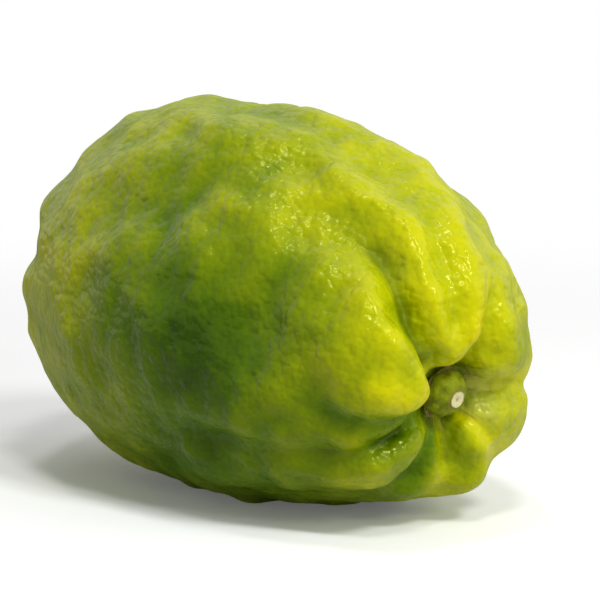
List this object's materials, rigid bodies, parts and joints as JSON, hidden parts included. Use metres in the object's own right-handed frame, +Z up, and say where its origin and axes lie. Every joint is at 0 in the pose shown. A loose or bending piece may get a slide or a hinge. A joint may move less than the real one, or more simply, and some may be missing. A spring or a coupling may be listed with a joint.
{
  "type": "etrog",
  "caption": "Whole ribbed, bumpy citron fruit lying on its side, tapering to a blunt nipple, with a cut stem stub and calyx in the hollow at its stem end.",
  "frame": {"origin": "on the surface that the fruit lies on, under the middle of the object's box", "axes": "+Z up, +X along the fruit towards its stem end, -Y the side with the deepest groove beside the stem hollow"},
  "size_m": [0.1204, 0.0746, 0.0786],
  "materials": {
    "rind": "waxy yellow-green citrus rind, pored, with yellow on the shoulders and darker green in the grooves",
    "calyx": "dried brown-green sepals, dull",
    "stem": "green stem stub, satin, with a pale dry cut"
  },
  "bodies": {
    "root": {"fruit": "rind", "calyx": "calyx", "stem_stub": "stem"}
  },
  "joints": []
}
